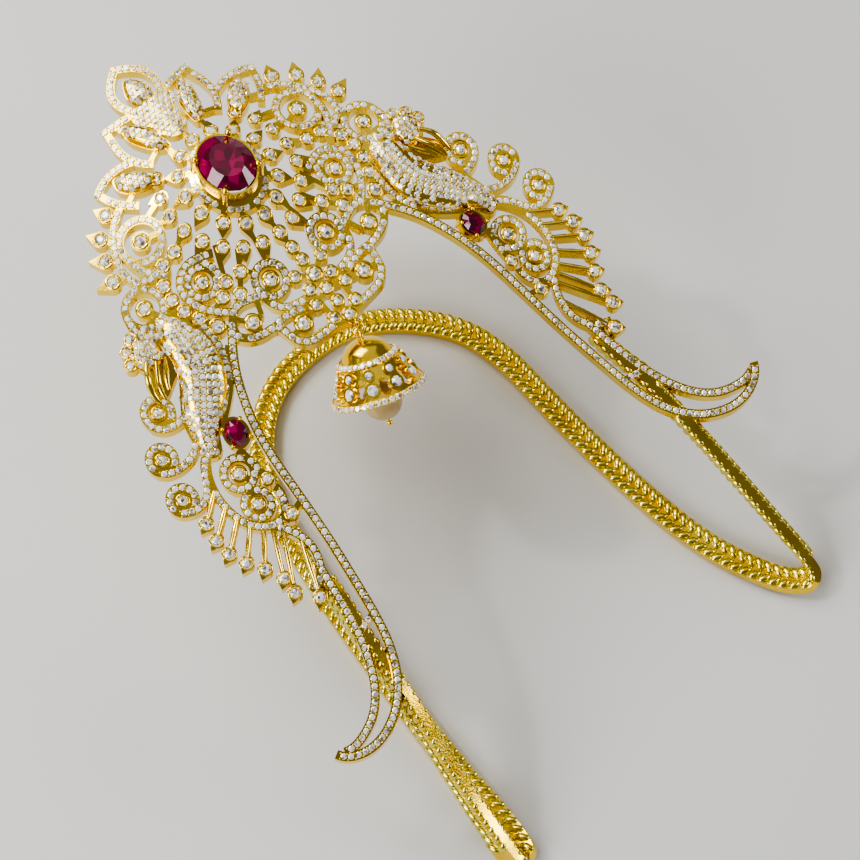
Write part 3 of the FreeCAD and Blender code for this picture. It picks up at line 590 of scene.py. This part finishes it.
def strew(name, model, spots, material):
    """Copies of one small model set on many spots, joined into one mesh."""
    mesh = bpy.data.meshes.new(name)
    mesh.from_pydata([place for place, _, _ in spots], [], [])
    turns = mesh.attributes.new("turn", "FLOAT_VECTOR", "POINT")
    turns.data.foreach_set("vector", [v for _, turned, _ in spots for v in turned])
    sizes = mesh.attributes.new("size", "FLOAT", "POINT")
    sizes.data.foreach_set("value", [size for _, _, size in spots])
    piece = bpy.data.objects.new(name, mesh)
    bpy.context.scene.collection.objects.link(piece)
    group = bpy.data.node_groups.new(name, "GeometryNodeTree")
    group.interface.new_socket("Geometry", in_out="INPUT", socket_type="NodeSocketGeometry")
    group.interface.new_socket("Geometry", in_out="OUTPUT", socket_type="NodeSocketGeometry")
    made = {}
    kinds = {
        "in": "NodeGroupInput",
        "out": "NodeGroupOutput",
        "model": "GeometryNodeObjectInfo",
        "turn": "GeometryNodeInputNamedAttribute",
        "size": "GeometryNodeInputNamedAttribute",
        "set": "GeometryNodeInstanceOnPoints",
        "real": "GeometryNodeRealizeInstances",
    }
    for key, kind in kinds.items():
        made[key] = group.nodes.new(kind)
    made["model"].inputs["Object"].default_value = model
    made["turn"].data_type = "FLOAT_VECTOR"
    made["turn"].inputs["Name"].default_value = "turn"
    made["size"].data_type = "FLOAT"
    made["size"].inputs["Name"].default_value = "size"
    link = group.links.new
    link(made["in"].outputs[0], made["set"].inputs["Points"])
    link(made["model"].outputs["Geometry"], made["set"].inputs["Instance"])
    link(made["turn"].outputs["Attribute"], made["set"].inputs["Rotation"])
    link(made["size"].outputs["Attribute"], made["set"].inputs["Scale"])
    link(made["set"].outputs["Instances"], made["real"].inputs["Geometry"])
    link(made["real"].outputs["Geometry"], made["out"].inputs[0])
    piece.modifiers.new("strew", "NODES").node_group = group
    bpy.ops.object.select_all(action="DESELECT")
    bpy.context.view_layer.objects.active = piece
    piece.select_set(True)
    bpy.ops.object.modifier_apply(modifier="strew")
    piece.data.materials.clear()
    piece.data.materials.append(material)
    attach(piece, "root")


def start_model(name):
    """Names the primitive just added and opens it for shaping, with nothing of it selected."""
    model = bpy.context.object
    model.name = name
    bpy.ops.object.mode_set(mode="EDIT")
    bpy.ops.mesh.select_all(action="DESELECT")
    bpy.ops.object.mode_set(mode="OBJECT")
    return model


def drop_model(model):
    """Takes the pattern piece away once its copies are set."""
    bpy.data.objects.remove(model, do_unlink=True)


def white_stone(name, bright, shade):
    """Clear white stone: its base colour painted in random cells from shade to bright, as painted facet
    sparkle, under a hard clear skin.
    """
    paint = Paint(name, Roughness=0.08, IOR=2.2, Coat_Weight=0.5, Metallic=0.2)
    # Painted glints and painted shade: random cells of the base colour stand in for the facets' sparkle.
    painted_sparkle_cells = paint.node("ShaderNodeTexVoronoi", {}, {"Vector": paint.place, "Scale": 1900.0}, "Color")
    paint.feed("Base Color", paint.ramp(painted_sparkle_cells, (0.16, (*shade, 1)), (0.5, (*bright, 1))))
    return paint.material


bpy.ops.object.select_all(action="DESELECT")
bpy.ops.mesh.primitive_cone_add(vertices=8, radius1=0.60 * MM, radius2=0.41 * MM, depth=0.22 * MM,
                                location=(0, 0, 0.10 * MM))
bpy.ops.object.transform_apply(location=True)
model = start_model("tiny_stone_model")
for v in model.data.vertices:
    v.select = v.co.z > 0.15 * MM
bpy.ops.object.mode_set(mode="EDIT")
bpy.ops.transform.rotate(value=pi / 8, orient_axis="Z", center_override=(0, 0, 0))
bpy.ops.object.mode_set(mode="OBJECT")
# Both colours warmed as a painted reflection of the surrounding gold; the dark one is painted shade of the
# unlit facets.
pave_white = white_stone("pave_white", (1.0, 0.97, 0.88), (0.24, 0.20, 0.14))
strew("strip_pave", model, row_spots, pave_white)
strew("field_pave", model, field_spots, pave_white)

# The bell's fine pavé: one row round its upper ring and one round its rim.
# Stones as on the strips.
BELL_AXIS = Vector((-0.30, -0.76, -0.575)).normalized()
low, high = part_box("bell_pearl")
pearl_middle = (Vector(low) + Vector(high)) / 2
PEARL_DEPTH = 11.7
BELL_BEAD = 0.58
BELL_ROWS = [
    # radius, depth under the crown, stones, tilt
    (4.8, 3.7, 26, -40),
    (7.85, 9.8, 42, -12),
]
crown = pearl_middle - BELL_AXIS * (PEARL_DEPTH * MM)
bell_side = BELL_AXIS.cross(Vector((0, 0, 1))).normalized()
bell_front = BELL_AXIS.cross(bell_side)
bell_spots = []
for radius, depth, count, tilt in BELL_ROWS:
    for k in range(count):
        a = 2 * pi * k / count
        outwards = bell_side * cos(a) + bell_front * sin(a)
        way = outwards * cos(radians(tilt)) + BELL_AXIS * sin(radians(tilt))
        middle = crown + BELL_AXIS * (depth * MM) + outwards * (radius * MM)
        place = middle + way * (BELL_BEAD * MM)
        bell_spots.append((place, frame_on(place, way, BELL_AXIS.cross(outwards)), 0.95))
strew("bell_pave", model, bell_spots, pave_white)
drop_model(model)

# Grains: beads of the frame's own gold, raised beside each tiny stone to hold it.
# Two to a stone, so that each stone lies between four.
bpy.ops.object.select_all(action="DESELECT")
bpy.ops.mesh.primitive_ico_sphere_add(subdivisions=1, radius=0.19 * MM,
                                      location=(0.64 * MM, 0.46 * MM, 0.06 * MM))
bpy.ops.object.transform_apply(location=True)
model = start_model("grain_model")
model.select_set(True)
bpy.ops.object.mode_set(mode="EDIT")
bpy.ops.mesh.select_all(action="SELECT")
bpy.ops.mesh.duplicate()
bpy.ops.transform.translate(value=(0, -0.92 * MM, 0))
bpy.ops.object.mode_set(mode="OBJECT")
bpy.ops.object.shade_smooth()
grain_gold = gold_paint("grain_gold", (1.0, 0.80, 0.22), (0.95, 0.68, 0.12), 0.14, 2600.0)
strew("strip_grains", model, row_spots, grain_gold)
strew("field_grains", model, field_spots, grain_gold)
strew("bell_grains", model, bell_spots, grain_gold)
drop_model(model)

# Claws: four small rounded prongs over each larger round stone, bent in from its cup.
# Cast with the frame and polished.
bpy.ops.object.select_all(action="DESELECT")
bpy.ops.mesh.primitive_uv_sphere_add(segments=8, ring_count=6, radius=0.13 * MM,
                                     location=(0.5 * MM, 0, 0.14 * MM))
bpy.ops.object.transform_apply(location=True)
model = start_model("claw_model")
model.select_set(True)
bpy.ops.object.mode_set(mode="EDIT")
bpy.ops.mesh.select_all(action="SELECT")
bpy.ops.transform.resize(value=(1.35, 0.95, 1.25), center_override=(0.5 * MM, 0, 0.14 * MM))
bpy.ops.transform.rotate(value=pi / 4, orient_axis="Z", center_override=(0, 0, 0))
for k in range(3):
    bpy.ops.mesh.duplicate()
    bpy.ops.transform.rotate(value=pi / 2, orient_axis="Z", center_override=(0, 0, 0))
bpy.ops.object.mode_set(mode="OBJECT")
bpy.ops.object.shade_smooth()
strew("stone_claws", model, claw_spots, grain_gold)
drop_model(model)

# Cup rims: a low raised ring round each of those stones, part of its cup.
# Cast with the frame, bright along its edge.
bpy.ops.object.select_all(action="DESELECT")
bpy.ops.mesh.primitive_torus_add(major_radius=0.63 * MM, minor_radius=0.10 * MM,
                                 major_segments=16, minor_segments=6)
model = start_model("rim_model")
for v in model.data.vertices:
    v.select = hypot(v.co.x, v.co.y) > 0.68 * MM
bpy.ops.object.mode_set(mode="EDIT")
bpy.ops.transform.resize(value=(1.08, 1.08, 1.0), center_override=(0, 0, 0))
bpy.ops.object.mode_set(mode="OBJECT")
bpy.ops.object.shade_smooth()
strew("cup_rims", model, claw_spots, grain_gold)
drop_model(model)

# Feather wires of the fans and three for each bird's beak: plain round gold rods, thinner at their ends.
# Drawn wire, bent and soldered on the frame.
BEAKS = [
    [(31.8, -12.6), (33.4, -14.6), (34.3, -16.8), (34.2, -18.6)],
    [(30.2, -13.4), (31.8, -15.2), (32.9, -17.2), (33.0, -18.8)],
    [(28.6, -13.4), (29.8, -15.2), (31.0, -16.6), (31.6, -17.8)],
]


def rod(name, path, thick, side, lift=0.0):
    """A round wire over the front, full in its middle and thinner at its ends."""
    curve = bpy.data.curves.new(name, "CURVE")
    curve.dimensions = "3D"
    curve.bevel_depth = thick * MM
    curve.bevel_resolution = 2
    curve.use_fill_caps = True
    line = curve.splines.new("NURBS")
    line.points.add(len(path) - 1)
    height = None
    for k, (x, y) in enumerate(path):
        hit = surface_at(side * x, y)
        height = hit[0].z if hit else height
        line.points[k].co = (side * x * MM, (y + LENGTH_SHIFT) * MM, (height or 0) + lift * MM, 1)
        line.points[k].radius = 1.0 if 0 < k < len(path) - 1 else 0.55
    line.order_u = 3
    line.use_endpoint_u = True
    piece = bpy.data.objects.new(name, curve)
    bpy.context.scene.collection.objects.link(piece)
    bpy.ops.object.select_all(action="DESELECT")
    bpy.context.view_layer.objects.active = piece
    piece.select_set(True)
    bpy.ops.object.convert(target="MESH")
    return bpy.context.object


rods = []
for side in (1, -1):
    for path in BEAKS:
        rods.append(rod("beak_rod", path, 0.62, side, 0.1))
    for x0, y0, x1, y1 in FEATHERS:
        steps = [(x0 + (x1 - x0) * t, y0 + (y1 - y0) * t) for t in (0.04, 0.3, 0.6, 0.86)]
        if surface_at(side * steps[1][0], steps[1][1]):
            rods.append(rod("feather_rod", steps, 0.46, side, 0.05))
bpy.ops.object.select_all(action="DESELECT")
for piece in rods:
    piece.select_set(True)
bpy.context.view_layer.objects.active = rods[0]
bpy.ops.object.join()
wires = bpy.context.object
wires.name = "fan_and_beak_wires"
bpy.ops.object.shade_smooth()
wires.data.materials.clear()
wires.data.materials.append(grain_gold)
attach(wires, "root")

# The larger white stones of rings, scrolls, cups, spikes, feathers, crests and bell.
# Round cut, each with its table up.
# Both colours warmed as a painted reflection of the surrounding gold; the dark one is painted shade of the
# unlit facets.
large_white = white_stone("large_white", (1.0, 0.98, 0.93), (0.15, 0.13, 0.11))
for name in ("ring_stones", "scroll_stones", "cup_stones", "spike_stones", "feather_stones", "crest_stones",
             "bell_stones"):
    dress(name, large_white)

# The rubies: one large oval in the middle and one at each bird's tail.
# Cut stones of a magenta red, their colour painted in random cells from deep to bright red, as painted
# facet glints and painted shade.
ruby = Paint("ruby_red", Roughness=0.05, IOR=1.77, Coat_Weight=0.2)
# Painted facet light and shade: random cells of dark, mid and bright red.
painted_sparkle_cells = ruby.node("ShaderNodeTexVoronoi", {}, {"Vector": ruby.place, "Scale": 620.0}, "Color")
ruby.feed("Base Color", ruby.ramp(painted_sparkle_cells, (0.15, (0.06, 0.001, 0.012, 1)), (0.6, (0.20, 0.002, 0.04, 1)),
                                  (0.95, (0.42, 0.008, 0.11, 1))))
for name in ("centre_ruby", "right_ruby", "left_ruby"):
    dress(name, ruby.material)

# The pearl under the bell, round and drilled for its pin.
# Its own colour a pale champagne, soft lustre; painted darker and more golden over a slow random mottle, as
# painted shade and a painted reflection of the gold around it.
pearl = Paint("pearl_lustre", Roughness=0.22, Coat_Weight=0.6)
# Dark golden tan: painted shade and painted reflection of the gold laid over the pearl's pale cream,
# mottled at random.
pearl.feed("Base Color", pearl.ramp(pearl.noise(260.0), (0.3, (0.48, 0.33, 0.14, 1)),
                                    (0.7, (0.66, 0.50, 0.26, 1))))
dress("bell_pearl", pearl.material)

# The back band's wheat braid: slanted oval grains to each side of a plain stem.
# Pressed into the drawn strip, of a greener gold.
BAND_THICK = 1.7
RISER = [
    # x, y, height of the strip's middle, then the way across the strip: x, y, height
    (32.9, -57.6, 32.3, -0.14, -0.40, 0.91),
    (34.0, -65.0, 29.9, -0.14, -0.42, 0.90),
    (34.9, -72.0, 27.2, -0.16, -0.48, 0.87),
    (35.6, -79.0, 23.9, -0.17, -0.54, 0.82),
    (36.5, -86.0, 19.4, -0.18, -0.60, 0.77),
    (37.5, -93.6, 13.9, -0.20, -0.64, 0.74),
    (38.4, -101.0, 8.8, -0.24, -0.66, 0.71),
    (39.0, -106.4, 5.6, -0.32, -0.66, 0.68),
    (39.2, -109.4, 3.7, -0.40, -0.64, 0.66),
    (38.5, -111.0, 2.5, -0.48, -0.63, 0.60),
]
ARCH_RIGHT = [
    # x, y, lift of the middle over the strip's half thickness, lean of its inner edge
    (37.0, -111.3, 1.3, 0.46),
    (34.8, -109.7, 0.8, 0.25),
    (31.8, -104.4, 0.4, 0.1),
    (29.1, -96.4, 0.08, 0.0),
    (27.5, -87.4, 0.02, 0.0),
    (26.8, -77.4, 0.0, 0.0),
    (26.7, -66.6, 0.0, 0.0),
    (27.0, -53.8, 0.0, 0.0),
    (27.4, -41.0, 0.0, 0.0),
    (25.7, -31.9, 0.0, 0.0),
    (21.9, -25.2, 0.0, 0.0),
    (15.8, -18.9, 0.0, 0.0),
    (8.6, -15.0, 0.0, 0.0),
    (0.4, -13.8, 0.0, 0.0),
]
ARCH_LEFT = [
    (37.0, -110.8, 1.3, 0.46),
    (35.9, -108.0, 0.8, 0.25),
    (35.2, -102.0, 0.4, 0.1),
    (34.8, -93.6, 0.08, 0.0),
    (34.0, -85.0, 0.02, 0.0),
    (32.9, -76.0, 0.0, 0.0),
    (31.4, -65.4, 0.0, 0.0),
    (29.6, -54.0, 0.0, 0.0),
    (27.2, -42.4, 0.0, 0.0),
    (24.8, -32.6, 0.0, 0.0),
    (20.4, -24.6, 0.0, 0.0),
    (14.2, -18.2, 0.0, 0.0),
    (7.2, -14.7, 0.0, 0.0),
]
BRAID = 1.85
BRAID_SIDE = 1.22
rows = list(RISER)
arch = list(ARCH_RIGHT)
arch += [(-x, y, lift, lean) for x, y, lift, lean in ARCH_LEFT[::-1]]
for x, y, lift, lean in arch:
    rows.append((x, y, BAND_THICK / 2 + lift, None, None, lean))
rows += [(-x, y, z, -wx, wy, wz) for x, y, z, wx, wy, wz in RISER[::-1]]
stations = []
for k, (x, y, z, wx, wy, wz) in enumerate(rows):
    before, after = rows[max(k - 1, 0)], rows[min(k + 1, len(rows) - 1)]
    ahead = Vector(after[:3]) - Vector(before[:3])
    if wx is None:
        across = Vector((-ahead.y, ahead.x, 0)).normalized() + Vector((0, 0, wz))
    else:
        across = Vector((wx, wy, wz))
    ahead.normalize()
    across = (across - ahead * across.dot(ahead)).normalized()
    stations.append((x, y, z, *across))
braid_spots = []
for numbers, steps in along_path(stations, BRAID):
    middle = Vector(numbers[:3])
    across = Vector(numbers[3:6]).normalized()
    ahead = Vector(steps[:3]).normalized()
    up = across.cross(ahead).normalized()
    for face in (-1, 1):
        if face == 1 and middle.z < 5.0:
            continue
        top = middle + up * (face * BAND_THICK / 2)
        place = Vector((top.x, top.y + LENGTH_SHIFT, top.z)) * MM
        for side in (-1, 1):
            slant = (across * side + ahead * 0.85).normalized()
            at = place + across * (side * BRAID_SIDE * MM)
            found, spot, way, _ = gold_mesh.closest_point_on_mesh(at)
            if found and (spot - at).length < 0.8 * MM:
                braid_spots.append((spot, frame_on(spot, up * face, slant), 1.0))
bpy.ops.object.select_all(action="DESELECT")
bpy.ops.mesh.primitive_uv_sphere_add(segments=8, ring_count=6, radius=1.0 * MM)
model = start_model("braid_model")
model.select_set(True)
bpy.ops.object.mode_set(mode="EDIT")
bpy.ops.mesh.select_all(action="SELECT")
bpy.ops.transform.resize(value=(1.55, 0.80, 0.72), center_override=(0, 0, 0))
bpy.ops.object.mode_set(mode="OBJECT")
bpy.ops.object.shade_smooth()
band_gold = gold_paint("band_gold", (0.90, 0.80, 0.24), (0.74, 0.61, 0.12), 0.24, 2200.0)
strew("wheat_braid", model, braid_spots, band_gold)
drop_model(model)
